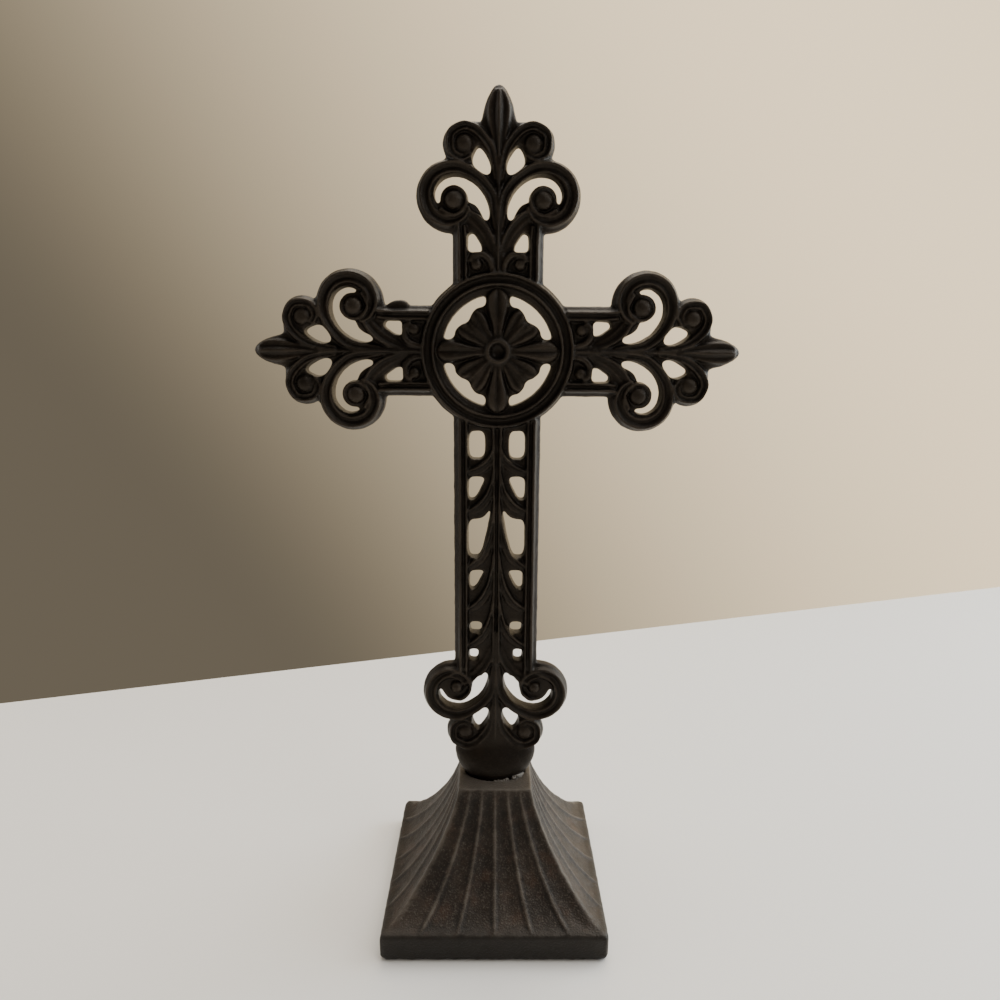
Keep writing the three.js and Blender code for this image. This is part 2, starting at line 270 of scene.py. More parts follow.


# cast iron: clouded browns, rust, a speckled skin, paler crests that are worn and carry a painted highlight,
# hollows darkened by grime and painted shade, painted shade on the plinth, and painted light on what lies
# level
def ironMaterial(name, look):
    material = bpy.data.materials.new(name)
    material.use_nodes = True
    tree = material.node_tree
    shader = tree.nodes["Principled BSDF"].inputs
    shader["Metallic"].default_value = look["metallic"]
    shader["Specular IOR Level"].default_value = look["specular"]
    shader["Specular Tint"].default_value = (*look["sheen"], 1)
    dark, light, rust, wornAndHighlight, grimeAndShade = [(*look[key], 1) for key in ("dark", "light", "rust", "wornAndHighlight", "grimeAndShade")]
    where = step(tree, "ShaderNodeTexCoord")["Object"]
    crest = step(tree, "ShaderNodeAttribute", {"attribute_name": "crest"})["Fac"]
    cloud = noiseAt(tree, where, look["cloudScale"], skin["cloudDetail"])
    grain = noiseAt(tree, where, look["grainScale"], skin["grainDetail"])
    stain = noiseAt(tree, where, look["cloudScale"] * skin["rustScale"], skin["rustDetail"])
    colour = tinted(tree, ranged(tree, cloud, skin["cloudSpan"]), dark, light)
    colour = tinted(tree, ranged(tree, stain, skin["rustSpan"], 0.0, look["rustShare"]), colour, rust)
    colour = tinted(tree, ranged(tree, grain, skin["speckleSpan"], 0.0, look["speckleShare"]), colour, wornAndHighlight)
    # paler crests: wear together with a painted highlight where the ridges would catch light
    wearAndHighlight = step(tree, "ShaderNodeMath", {"operation": "MULTIPLY"}, n0=ranged(tree, crest, skin["wearAndHighlightSpan"]),
                n1=ranged(tree, cloud, skin["wearAndHighlightClouds"], look["leastWearAndHighlight"], 1.0))
    colour = tinted(tree, wearAndHighlight[0], colour, wornAndHighlight)
    # painted shade, with some grime, darkens the hollows
    colour = tinted(tree, ranged(tree, crest, skin["grimeAndShadeSpan"]), colour, grimeAndShade)
    # painted shade: the plinth darkens towards the table
    height = step(tree, "ShaderNodeSeparateXYZ", Vector=where)["Z"]
    colour = tinted(tree, ranged(tree, height, skin["footSpan"], 0.0, look["footShade"]), colour, grimeAndShade)
    # painted light: what lies level near the top is paler, as if lit from above
    paintedTopLight = step(tree, "ShaderNodeAttribute", {"attribute_name": "paintedTopLight"})["Fac"]
    share = step(tree, "ShaderNodeMath", {"operation": "MULTIPLY"}, n0=paintedTopLight, n1=skin["topLightShare"])
    tree.links.new(tinted(tree, share[0], colour, wornAndHighlight), shader["Base Color"])
    rough = step(tree, "ShaderNodeMath", {"operation": "MULTIPLY_ADD"}, n0=grain, n1=skin["roughnessSpread"],
                 n2=look["roughness"] - skin["roughnessSpread"] / 2)
    tree.links.new(rough[0], shader["Roughness"])
    bump = step(tree, "ShaderNodeBump", Strength=look["grainStrength"], Distance=skin["grainHeight"],
                Height=grain)
    tree.links.new(bump[0], shader["Normal"])
    return material


crossIron = ironMaterial("cross iron", {
    "dark": (0.0038, 0.0028, 0.0021),
    "light": (0.009, 0.0067, 0.0050),
    "rust": (0.016, 0.0088, 0.0052),
    "wornAndHighlight": (0.032, 0.0255, 0.0195),
    "grimeAndShade": (0.0022, 0.0016, 0.0012),
    "rustShare": 0.35,
    "leastWearAndHighlight": 0.25,             # share of the wear and painted highlight that is left in the darkest clouds
    "speckleShare": 0.2,
    "footShade": 0.0,              # how much the plinth is darkened by painted shade
    "metallic": 0.0,
    "specular": 0.2,
    "sheen": (1.0, 0.89, 0.78),
    "roughness": 0.42,
    "cloudScale": 70,
    "grainScale": 1500,
    "grainStrength": 0.4,
})
baseIron = ironMaterial("base iron", {
    "dark": (0.011, 0.0075, 0.0055),
    "light": (0.027, 0.019, 0.014),
    "rust": (0.048, 0.025, 0.015),
    "wornAndHighlight": (0.085, 0.073, 0.060),
    "grimeAndShade": (0.0035, 0.003, 0.0025),
    "rustShare": 0.5,
    "leastWearAndHighlight": 0.3,
    "speckleShare": 0.6,
    "footShade": 0.9,
    "metallic": 0.0,
    "specular": 0.32,
    "sheen": (1.0, 0.95, 0.90),
    "roughness": 0.52,
    "cloudScale": 85,
    "grainScale": 1500,
    "grainStrength": 0.7,
})
print("irons mixed")


# Relief that follows a path: a section is swept along smooth curves through the path's points,
# as wide and as high as each point says.
def reliefTree():
    tree, given, result = newTree("relief along a path", [
        ("Section", "Object"), ("Step", "Float"), ("Ground", "Float"),
        ("Mirrored", "Bool"), ("Copies", "Int"), ("Iron", "Material")])
    path = step(tree, "GeometryNodeMeshToCurve", Mesh=given["Geometry"])
    smooth = step(tree, "GeometryNodeCurveSplineType", {"spline_type": "CATMULL_ROM"}, Curve=path[0])
    fine = step(tree, "GeometryNodeSetSplineResolution", Geometry=smooth[0],
                Resolution=crossSizes["pathResolution"])
    even = step(tree, "GeometryNodeResampleCurve", {"mode": "LENGTH"}, Curve=fine[0], Length=given["Step"])
    upright = step(tree, "GeometryNodeSetCurveNormal", {"mode": "Z_UP"}, Curve=even[0])
    half = step(tree, "GeometryNodeInputNamedAttribute", {"data_type": "FLOAT"}, Name="halfWidth")
    rise = step(tree, "GeometryNodeInputNamedAttribute", {"data_type": "FLOAT"}, Name="rise")
    chosen = step(tree, "GeometryNodeObjectInfo", Object=given["Section"])
    section = step(tree, "GeometryNodeMeshToCurve", Mesh=chosen["Geometry"])
    swept = step(tree, "GeometryNodeCurveToMesh", Curve=upright[0], Profile_Curve=section[0],
                 Scale=half[0], Fill_Caps=True)
    place = step(tree, "GeometryNodeInputPosition")
    apart = step(tree, "ShaderNodeSeparateXYZ", Vector=place[0])
    steepness = step(tree, "ShaderNodeMath", {"operation": "DIVIDE"}, n0=rise[0], n1=half[0])
    height = step(tree, "ShaderNodeMath", {"operation": "MULTIPLY_ADD"},
                  n0=apart["Z"], n1=steepness[0], n2=given["Ground"])
    together = step(tree, "ShaderNodeCombineXYZ", X=apart["X"], Y=apart["Y"], Z=height[0])
    shaped = step(tree, "GeometryNodeSetPosition", Geometry=swept[0], Position=together[0])
    mirror = step(tree, "GeometryNodeTransform", Geometry=shaped[0], Scale=(-1, 1, 1))
    flipped = step(tree, "GeometryNodeFlipFaces", Mesh=mirror[0])
    wanted = step(tree, "GeometryNodeSwitch", {"input_type": "GEOMETRY"},
                  Switch=given["Mirrored"], **{"True": flipped[0]})
    both = tree.nodes.new("GeometryNodeJoinGeometry")
    tree.links.new(shaped[0], both.inputs[0])
    tree.links.new(wanted[0], both.inputs[0])
    ended(tree, repeatedAround(tree, both.outputs[0], given["Copies"]), given["Iron"], result)
    return tree


def grown(name, tree, mesh, values):
    piece = placed(name, mesh)
    modifier = piece.modifiers.new(name, "NODES")
    modifier.node_group = tree
    for socket in tree.interface.items_tree:
        if socket.in_out == "INPUT" and socket.name in values:
            modifier[socket.identifier] = values[socket.name]
    made = settled(piece)
    dropped(piece)
    return made


# Sections of the relief, as shares of its half width and of its height above the ground.
# They run from the left edge to the right one, looking along the path.
reliefSections = {
    "volute": [(-1, 0.15), (-0.76, 0.9), (-0.62, 1.02), (-0.46, 0.8), (-0.1, 0.35), (0.3, 0.32),
               (0.62, 0.72), (0.78, 0.78), (1, 0.1)],
    "rail": [(-1, 0.1), (-0.74, 0.8), (-0.56, 0.9), (-0.34, 0.5), (0, 0.25), (0.3, 0.7), (0.5, 1.02),
             (0.72, 0.9), (1, 0.15)],
    "ring": [(-1, 0.05), (-0.7, 0.15), (-0.52, 0.4), (-0.41, 0.95), (-0.31, 1.08), (-0.2, 0.9),
             (-0.04, 0.42), (0.25, 0.3), (0.54, 0.45), (0.67, 0.95), (0.78, 1.08), (0.89, 0.9), (1, 0.3)],
    "leaf": [(-1, 0.25), (-0.8, 0.95), (-0.58, 1.0), (-0.1, 0.35), (0.55, 0.3), (0.8, 0.45), (1, 0.05)],
    "dish": [(-1, 0.3), (-0.84, 0.9), (-0.68, 1), (-0.38, 0.45), (0, 0.12), (0.38, 0.45), (0.68, 1),
             (0.84, 0.9), (1, 0.3)],
    "petal": [(-1, 0.15), (-0.82, 0.66), (-0.58, 0.92), (-0.3, 0.86), (0, 0.62), (0.3, 0.86), (0.58, 0.92),
              (0.82, 0.66), (1, 0.15)],
    "keel": [(-1, 0.1), (-0.85, 0.6), (-0.62, 0.5), (-0.34, 0.42), (-0.14, 0.85), (0, 1), (0.14, 0.85),
             (0.34, 0.42), (0.62, 0.5), (0.85, 0.6), (1, 0.1)],
    "round": [(-1, 0.1), (-0.75, 0.62), (-0.4, 0.93), (0, 1), (0.4, 0.93), (0.75, 0.62), (1, 0.1)],
}
crossSizes = {
    "rear": -3.2,          # depth of the plain back
    "ground": 1.8,         # depth of the plate that carries the relief
    "relief": 2.4,         # how far the relief stands out of the plate
    "bevel": 1.5,
    "centreHeight": 235,
    "ringRadius": 30.5,
    "ringInner": 21.8,
    "railOuter": 17.2,
    "railInner": 11.4,
    "railAxis": 13.5,
    "railHalf": 2.15,
    "railStart": 26.2,     # from the ring's centre, so that the rails end under its band
    "stemStart": 29,
    "armReach": 94,
    "topReach": 95,
    "lowerHeight": 150,    # where the lower scrolls, turned down, have their own zero
    "lowerRoot": 41.6,
    "shaftFoot": 107,
    "largeVolute": 13,
    "smallVolute": 8,
    "draft": 0.6,          # how much wider an opening is in front
    "ringDraft": 0.3,
    "cutterDepths": (-6, -2.6, 4.4, 8),    # it begins, starts to widen, stops widening, ends
    "sectionDepth": -0.3,  # share of its height by which the relief reaches into the plate
    "pathResolution": 16,
    "pathStep": 0.6,
    "voxel": 0.38,
    "softening": 5,
    "unevenness": 0.11,    # height of the sand-cast skin's waves
    "unevenGrain": 4,      # their width
    "triangles": 190000,
}
largeEye = (17.7, 56.5)
smallEye = (12.7, 74.6)
curlEye = (8.3, 32.2)
# the curled end in a large volute, and the same above the foot; the horn is the bearing of its free end
innerLobe = {"centre": (16.6, 55.4), "radius": 4.9, "boss": 3.4, "horn": -8}
lowerLobe = {"centre": (16.3, 54.4), "radius": 6.1, "boss": 2.4, "horn": 22}
reliefAlongPath = reliefTree()
sectionPieces = {}
for name, shape in reliefSections.items():
    loop = [(shape[0][0], crossSizes["sectionDepth"])] + shape + [(shape[-1][0], crossSizes["sectionDepth"])]
    ring = [(i, (i + 1) % len(loop)) for i in range(len(loop))]
    outline = meshOf(name, [(x, -y, 0) for x, y in loop], [], ring)
    sectionPieces[name] = placed("section " + name, outline)


# each run is a list of (across, along, half width, height) points
def relief(name, runs, section, mirrored=False, copies=1, closed=False):
    points, edges, widths, rises = [], [], [], []
    for run in runs:
        first = len(points)
        points += [(x, y, 0) for x, y, half, rise in run]
        widths += [half for x, y, half, rise in run]
        rises += [rise for x, y, half, rise in run]
        edges += [(i, i + 1) for i in range(first, len(points) - 1)]
        if closed:
            edges.append((len(points) - 1, first))
    path = meshOf(name, points, [], edges)
    keepOnPoints(path, "halfWidth", widths)
    keepOnPoints(path, "rise", rises)
    return grown(name, reliefAlongPath, path, {
        "Section": sectionPieces[section], "Step": crossSizes["pathStep"], "Ground": crossSizes["ground"],
        "Mirrored": mirrored, "Copies": copies, "Iron": crossIron})


# points at (bearing, distance, half width, height) round a centre
def curled(centre, turns):
    x, y = centre
    return [(x + r * math.cos(math.radians(a)), y + r * math.sin(math.radians(a)), half, rise)
            for a, r, half, rise in turns]


# One end of the cross, growing along Y from its root: two large and two small volutes and a leaf tip.
def scrollEnd(name, root, reach, lower=False):
    ground, high = crossSizes["ground"], crossSizes["relief"]
    outer, axis, thick = crossSizes["railOuter"], crossSizes["railAxis"], crossSizes["railHalf"]
    lobe = lowerLobe if lower else innerLobe
    tip = [(6.6, 82.3), (5.3, 85)]
    if not lower:
        tip = [(6.6, 82.3), (5.9, reach - 10.2), (5.2, reach - 7.2), (4.2, reach - 4.5), (2.9, reach - 2.2),
               (1.5, reach - 0.6), (0, reach)]
    right = [(outer, root), (outer, 43.4)] + onArc(largeEye, crossSizes["largeVolute"], -88, 78, 32)
    right += onArc(smallEye, crossSizes["smallVolute"], -34, 104, 20) + tip
    left = [(-x, y) for x, y in right if x > 0][::-1]
    crescent = [(23.9, 56.4), (23.6, 59.3), (21.5, 62.2), (18.4, 63.7), (14.5, 63.9), (10.3, 62.3),
                (6.7, 59.3), (4.3, 55.3), (3.2, 51.2), (3.9, 48.2), (5.4, 48.6)]
    crescent += [(7.2, 49.2), (9.0, 51.6)] if lower else [(6.6, 51.4), (8.2, 53.6), (10.6, 54.6)]
    crescent += onArc(lobe["centre"], lobe["radius"] + 0.45, 186, lobe["horn"], 14)
    crescent += [(23.2, 55.4)] if lower else [(22.6, 53.9)]
    openings = [
        softLoop(crescent),
        softLoop([(2.9, 66.2), (3.9, 63.9), (7.3, 65.5), (10.2, 68.7), (8.6, 73.2), (7, 74.4), (5.0, 72.0),
                  (3.2, 68.8)]),
    ]
    if not lower:
        openings.append(softLoop([(6.2, 37), (11.4, 37), (11.4, 43), (9.4, 43.8), (6.4, 39.6)], 0.3))
    largeBand = [(0.9, 45, 1.1, 1.7), (1.5, 51, 1.5, 2.1), (2.7, 57, 1.9, 2.3)] + curled(largeEye, [
        (152, 12, 2.3, high), (112, 10.3, 2.5, high), (75, 9.75, 2.5, high), (38, 9.7, 2.55, high),
        (0, 9.7, 2.55, high), (-40, 9.6, 2.55, high), (-80, 9.2, 2.45, high), (-118, 8.1, 2.2, high),
        (-150, 7.0, 1.7, 2.1)])
    smallBand = [(1.0, 62, 0.9, 1.6), (1.7, 68, 1.3, 2.0), (3.3, 73.4, 1.6, 2.2)] + curled(smallEye, [
        (150, 6.7, 1.7, high), (115, 6.0, 1.7, high), (80, 5.75, 1.7, high), (30, 5.7, 1.7, high),
        (-30, 5.5, 1.65, 2.3), (-80, 5.1, 1.5, 2.1), (-130, 4.2, 1.1, 1.7)])
    innerCurl = curled(lobe["centre"], [
        (-35, lobe["radius"] + 1.5, 0.7, 1.9), (-90, lobe["radius"] + 1.0, 0.9, 2.2),
        (-140, lobe["radius"] + 0.3, 0.9, 2.3), (170, lobe["radius"] - 0.4, 0.85, 2.2),
        (110, lobe["radius"] - 0.7, 0.75, 1.8), (68, lobe["radius"] - 0.9, 0.4, 0.4)])
    leaves = [[(0.8, 35, 1.2, 1.5), (3.9, 42.6, 1.9, 2.1), (7.6, 47.4, 2.1, 2.2), (11.6, 50.3, 1.8, 2.0),
               (14.4, 51.4, 1.2, 1.5)]]
    curls = [[(1.8, 28.5, 1.2, 1.7), (2.9, 33.2, 1.5, 2.1), (5.8, 35.7, 1.6, 2.2), (9.2, 35.2, 1.6, 2.1),
              (10.4, 33.0, 1.5, 1.9)]]
    solids = [
        plate(name, right + left, crossSizes["rear"], ground, crossSizes["bevel"]),
        relief("volutes", [largeBand, smallBand], "volute", mirrored=True),
        relief("inner curls", [innerCurl], "round", mirrored=True),
        relief("leaves", leaves, "leaf", mirrored=True),
        relief("rails", [[(axis, crossSizes["railStart"], thick, high), (axis, 40, thick, high),
                          (axis + 0.4, 46, 2.0, high)]], "rail", mirrored=True),
        relief("stem", [[(0, crossSizes["stemStart"], 2.1, 1.9), (0, 36, 1.9, 2.2), (0, 46, 1.5, 2.3),
                         (0, 58, 1.2, 2.1), (0, 66, 0.9, 1.8)]], "keel"),
    ]
    if not lower:
        solids.append(relief("curls", curls, "round", mirrored=True))
        solids.append(relief("tip leaf", [[
            (0, 64, 0.9, 1.6), (0, 70, 1.5, 2.0), (0, 76, 2.7, 2.3), (0, 81.5, 4.0, 2.5),
            (0, 86.5, 4.3, 2.5), (0, 90.2, 3.3, 2.2), (0, reach - 2.1, 1.5, 1.5)]], "keel"))
    boss, (lobeX, lobeY) = lobe["boss"], lobe["centre"]
    for side in (-1, 1):
        solids.append(lathed("large eye", [
            (0.1, ground - 1), (boss, ground - 1), (boss, ground + 0.9), (boss * 0.85, ground + 1.9),
            (boss * 0.5, ground + 2.7), (0.1, ground + 3)], 40, (side * lobeX, lobeY - 0.5)))
        solids.append(lathed("small eye", [
            (0.1, ground - 1), (3.3, ground - 1), (3.1, ground + 0.8), (2.4, ground + 1.6),
            (1.3, ground + 2.1), (0.1, ground + 2.2)], 28, (side * smallEye[0], smallEye[1])))
        if not lower:
            solids.append(lathed("curl eye", [
                (0.1, ground - 1), (2.3, ground - 1), (2.2, ground + 0.8), (1.5, ground + 1.8),
                (0.1, ground + 2.2)], 24, (side * curlEye[0], curlEye[1])))
    return solids, [openingCutter(loop, crossSizes["draft"]) for loop in bothSides(openings)]


def shaft():
    ground, high, centre = crossSizes["ground"], crossSizes["relief"], crossSizes["centreHeight"]
    outer, inner, axis = crossSizes["railOuter"], crossSizes["railInner"], crossSizes["railAxis"]
    foot, top, thick = crossSizes["shaftFoot"], centre - crossSizes["ringInner"], crossSizes["railHalf"]

    def at(share):
        return foot + (top - foot) * share

    # the right half's openings and leaves, as shares of the height from the foot to the ring
    corners = [
        [(4.9, 0.912), (inner - 0.3, 0.914), (inner - 0.3, 0.812), (4.9, 0.812)],
        [(4.3, 0.74), (inner - 0.1, 0.74), (inner - 0.1, 0.656), (8.4, 0.658)],
        [(2, 0.62), (5.4, 0.58), (inner, 0.574), (inner, 0.431), (6.2, 0.431)],
        [(4.6, 0.374), (inner - 0.6, 0.374), (inner - 0.6, 0.3), (8.4, 0.302)],
        [(6.0, 0.165), (10.6, 0.165), (10.6, 0.121), (6.0, 0.121)],
        [(7.4, 0.051), (10.9, 0.051), (10.9, 0.006), (7.4, 0.006)],
    ]
    openings = [softLoop([(x, at(share)) for x, share in hole], 0.35) for hole in corners]
    runs = []
    for first, last in ((0.847, 0.762), (0.744, 0.612), (0.584, 0.396), (0.395, 0.225), (0.235, 0.075)):
        along = [at(first + (last - first) * way) for way in (-0.3, 0.1, 0.5, 0.84, 1.04)]
        runs.append([(0.8, along[0], 0.8, 1.7), (1.4, along[1], 1.1, 2.2), (3.0, along[2], 1.6, 2.4),
                     (6.4, along[3], 1.9, 2.2), (inner - 0.2, along[4], 1.4, 1.7)])
    solids = [
        plate("shaft", [(-outer, foot - 2), (outer, foot - 2), (outer, top), (-outer, top)],
              crossSizes["rear"], ground, crossSizes["bevel"]),
        relief("shaft rails", [[(axis, foot - 5, thick, high), (axis, 150, thick, high),
                                (axis, centre - crossSizes["railStart"], thick, high)]],
               "rail", mirrored=True),
        relief("drooping leaves", runs, "leaf", mirrored=True),
        relief("shaft stem", [[(0, centre - crossSizes["stemStart"], 2.2, 2.0), (0, at(0.5), 1.3, 2.1),
                               (0, foot, 1.8, 2.2)]], "dish"),
        relief("foot stem", [[(0, foot + 2, 1.8, 2.2), (0, 92, 1.5, 2.3), (0, 84, 1.8, 2.4),
                              (0, 77, 2.5, 2.5), (0, 72, 3.7, 2.4), (0, 67, 5.2, 1.7)]], "keel"),
    ]
    return solids, [openingCutter(loop, crossSizes["draft"]) for loop in bothSides(openings)]


# a run outwards from the ring's centre, through (distance, half width, height)
def spoke(bearing, steps):
    c, s = math.cos(math.radians(bearing)), math.sin(math.radians(bearing))
    return [(r * c, r * s, half, rise) for r, half, rise in steps]


def ringAndRosette():
    ground, high = crossSizes["ground"], crossSizes["relief"]
    # an opening between two petals, with the scallops of the lobed petal on its inner side
    scallops = [(21, 4.9), (18.6, 4.5), (16.8, 5.5), (16.5, 8.2), (14.2, 10.2), (12, 11)]
    opening = softLoop(onArc((0, 0), crossSizes["ringInner"] - 0.2, 71, 19, 10) + scallops
                       + [(y, x) for x, y in scallops[::-1]])
    openings = []
    for quarter in range(4):
        c, s = quarterTurn(quarter)
        openings.append([(x * c - y * s, x * s + y * c) for x, y in opening])
    bandMiddle, bandHalf = 26, 3.6
    around = [(bandMiddle * math.cos(a), bandMiddle * math.sin(a), bandHalf, high)
              for a in np.radians(np.arange(0, 360, 15))]
    lobe = ((3.6, 1.1, 1.7), (8, 2.1, 2.0), (12.5, 3.1, 2.2), (15.6, 2.8, 2.0), (17.6, 1.4, 1.3))
    lobes = [spoke(bearing, lobe) for bearing in (32, 58)]
    ribs = [spoke(45, ((4, 0.6, 1.9), (9, 0.8, 2.4), (13, 0.8, 2.3), (16, 0.5, 1.4)))]
    solids = [
        plate("ring", onArc((0, 0), crossSizes["ringRadius"], 0, 360, 120)[:-1],
              crossSizes["rear"], ground, crossSizes["bevel"]),
        relief("ring band", [around], "ring", closed=True),
        relief("main petals", [[(0, 3.4, 1.3, 1.9), (0, 9, 2.2, 2.4), (0, 14, 3.6, 2.9), (0, 18, 4.4, 3.0),
                                (0, 20.8, 4.0, 2.6), (0, 22.6, 2.4, 2.0), (0, 23.3, 1.0, 1.4)]],
               "petal", copies=4),
        relief("lobed petals", lobes, "petal", copies=4),
        relief("petal ribs", ribs, "round", copies=4),
        lathed("centre boss", [
            (0.1, ground - 1), (5.0, ground - 1), (4.9, ground + 1.8), (4.5, ground + 2.6),
            (3.9, ground + 2.8), (3.2, ground + 2.2), (2.5, ground + 0.9), (1.4, ground + 0.3),
            (0.1, ground + 0.2)], 40),
    ]
    return solids, [openingCutter(loop, crossSizes["ringDraft"]) for loop in openings]


# a level ellipse for the foot, in the cross's lying frame
def ellipse(halfWidth, halfDepth, height, segments=56):
    return [(halfWidth * math.cos(a), height, -halfDepth * math.sin(a))
            for a in np.linspace(0, 2 * math.pi, segments, endpoint=False)]


# the tenon in the socket, the bowl above it and its neck, as (half width, half depth, height) steps
def footBowl():
    levels = [
        (12.4, 8.2, 48.6), (12.4, 8.2, 56.9), (13.6, 8.5, 57.3), (14.6, 8.6, 58.4), (15.6, 8.35, 60.2),
        (16.6, 7.7, 62.6), (17.2, 6.7, 65.2), (17.2, 5.5, 67.2), (16.6, 4.7, 68.7), (14.8, 4.3, 70.1),
        (11, 4.1, 71.7), (7, 4.0, 73.6), (4.4, 3.8, 76), (2.8, 3.5, 79)]
    return skinned("foot", [ellipse(*level) for level in levels])


def modified(mesh, kind, **settings):
    piece = placed("work", mesh)
    modifier = piece.modifiers.new("work", kind)
    for key, value in settings.items():
        setattr(modifier, key, value)
    made = settled(piece)
    dropped(piece)
    return made


def cutBy(mesh, cutters):
    blade = placed("blade", joined("blade", cutters))
    made = modified(mesh, "BOOLEAN", operation="DIFFERENCE", solver="MANIFOLD", object=blade)
    dropped(blade)
    return made


def softened(mesh, voxel, rounds):
    fine = modified(mesh, "REMESH", mode="VOXEL", voxel_size=voxel)
    return modified(fine, "SMOOTH", factor=0.5, iterations=rounds)


# the uneven skin of a sand casting, kept inside the given limits
def sandCast(mesh, amount, grain, limits):
    place, normal = vectorsOf(mesh, "co"), vectorsOf(mesh, "normal")
    # three octaves of noise, each twice as fine
    wave = np.array([noise.fractal(Vector(p) / grain, 0.9, 2.0, 3) for p in place])
    place += normal * (wave * amount)[:, None]
    for axis, (low, high) in enumerate(limits):
        if low is not None or high is not None:
            place[:, axis] = np.clip(place[:, axis], low, high)
    mesh.vertices.foreach_set("co", place.ravel())
    mesh.update()


# How far each point stands out of what surrounds it, kept as "crest": 0.5 is even, 1 a sharp edge.
def markCrests(mesh, rounds=10, reach=0.2):
    count = len(mesh.vertices)
    place, normal = vectorsOf(mesh, "co"), vectorsOf(mesh, "normal")
    ends = np.zeros(len(mesh.edges) * 2, int)
    mesh.edges.foreach_get("vertices", ends)
    first, last = ends.reshape(-1, 2).T
    around = np.bincount(ends, minlength=count)[:, None]
    even = place
    for _ in range(rounds):
        sums = [np.bincount(first, even[last, axis], count) + np.bincount(last, even[first, axis], count)
                for axis in range(3)]
        even = np.stack(sums, 1) / around
    crest = ((place - even) * normal).sum(1)
    keepOnPoints(mesh, "crest", np.clip(0.5 + crest / reach / 2, 0, 1))


# painted light on what lies level above a height, kept as a point attribute
def markTopLight(mesh, least, tilted=0.75, level=0.95):
    share = np.clip((vectorsOf(mesh, "normal")[:, 2] - tilted) / (level - tilted), 0, 1)
    keepOnPoints(mesh, "paintedTopLight", share * (vectorsOf(mesh, "co")[:, 2] > least))


def thinned(name, mesh, most):
    count = sum(len(face.vertices) - 2 for face in mesh.polygons)
    made = modified(mesh, "DECIMATE", ratio=min(1, most / count))
    print(name, "thinned from", count, "to", len(made.polygons), "triangles")
    return made


# the stub that the pouring gate left on top of the left arm
def pouringStub():
    outline = [(-43.2, 249), (-42.6, 252.2), (-40, 253.9), (-35.4, 254.4), (-33.6, 252.0), (-33.2, 249)]
    return plate("pouring stub", softLoop(outline), -2.6, 2.2, 1.2)


def crossMesh():
    root, centre = crossSizes["ringInner"], raised(crossSizes["centreHeight"])
    lowered = raised(crossSizes["lowerHeight"]) @ turned(180)
    reach, top = crossSizes["armReach"], crossSizes["centreHeight"] + crossSizes["topReach"]
    arm = scrollEnd("arm", root, reach)
    solids, cutters = [], []
    for (bodies, openings), place in (
            (scrollEnd("top", root, crossSizes["topReach"]), centre),
            (arm, centre @ turned(90)),
            (arm, centre @ turned(-90)),
            (ringAndRosette(), centre),
            (scrollEnd("bottom", crossSizes["lowerRoot"], 0, lower=True), lowered),
            (shaft(), Matrix.Identity(4))):
        solids += movedBy(place, bodies)
        cutters += movedBy(place, openings)
    solids += [footBowl(), pouringStub()]
    print("cross drawn in", len(solids), "bodies with", len(cutters), "openings")
    whole = modified(joined("cross", solids), "REMESH", mode="VOXEL", voxel_size=crossSizes["voxel"])
    opened = cutBy(whole, cutters)
    soft = softened(opened, crossSizes["voxel"], crossSizes["softening"])
    limits = [(-reach, reach), (None, top), (None, None)]
    sandCast(soft, crossSizes["unevenness"], crossSizes["unevenGrain"], limits)
    markCrests(soft)
    return thinned("cross", soft, crossSizes["triangles"])


# hands a mesh over, in metres and standing, as a piece that may replace a node
def finished(name, mesh, turn, node, material):
    mesh.transform(Matrix.Scale(0.001, 4) @ turn)
    mesh.materials.clear()
    mesh.materials.append(material)
    mesh.shade_smooth()
    piece = placed(name, mesh)
    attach(piece, "root")
    if node:
        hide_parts(node)
    print(name, "finished")


baseSizes = {
    "side": 90,
    "plinthHeight": 12,
    "edge": 2.1,           # how far the plinth's edges are rounded
    "plinthRounding": 1.8,
    "flareRounding": 1.5,
    "flareFoot": 88,
    "topSide": 31,
    "height": 56,
    "power": 0.75,         # how strongly the flare curves in
    "overlap": 0.5,        # how deep the flare stands in the plinth
    "topEdge": 0.35,       # how far the flat top is drawn in
    "wall": 5,
    "socketDepth": 8,
    "socketAxes": (13, 8.8),
    "ribsPerFace": 5,
    "ribRadius": 0.75,
    "ribInset": 0.1,       # how deep a rib's middle lies under the flare's face
    "ribEnd": 0.97,        # share of the flare's height
    "ribStep": 0.8,
    "ribSides": 10,
    "fluting": 0.6,        # depth of the hollow between two ribs
    "topLightBand": 2,         # where level tops get painted light, from the top down
    "voxel": 0.4,
    "softening": 3,
    "unevenness": 0.18,    # height of the sand-cast skin's waves
    "unevenGrain": 5,      # their width
    "triangles": 150000,
}


# the flare's half side at a share of its height
def flareHalf(share):
    spread = (1 - share ** baseSizes["power"]) ** (1 / baseSizes["power"])
    return (baseSizes["topSide"] + (baseSizes["flareFoot"] - baseSizes["topSide"]) * spread) / 2


# a square with hollows between the ribs' places and rounded corners
def squareLoop(half, height, fluting=0.0, perSide=48, rounding=baseSizes["flareRounding"]):
    loop = []
    for face in range(4):
        c, s = quarterTurn(face)
        for i in range(perSide):
            t = i / perSide
            x = -half + 2 * half * t
            y = -half + fluting * math.sin(math.pi * (t * (baseSizes["ribsPerFace"] + 1) % 1)) ** 2
            y += max(0, rounding - min(t, 1 - t) * 2 * half) ** 2 / (2 * rounding)
            loop.append((x * c - y * s, x * s + y * c, height))
    return loop


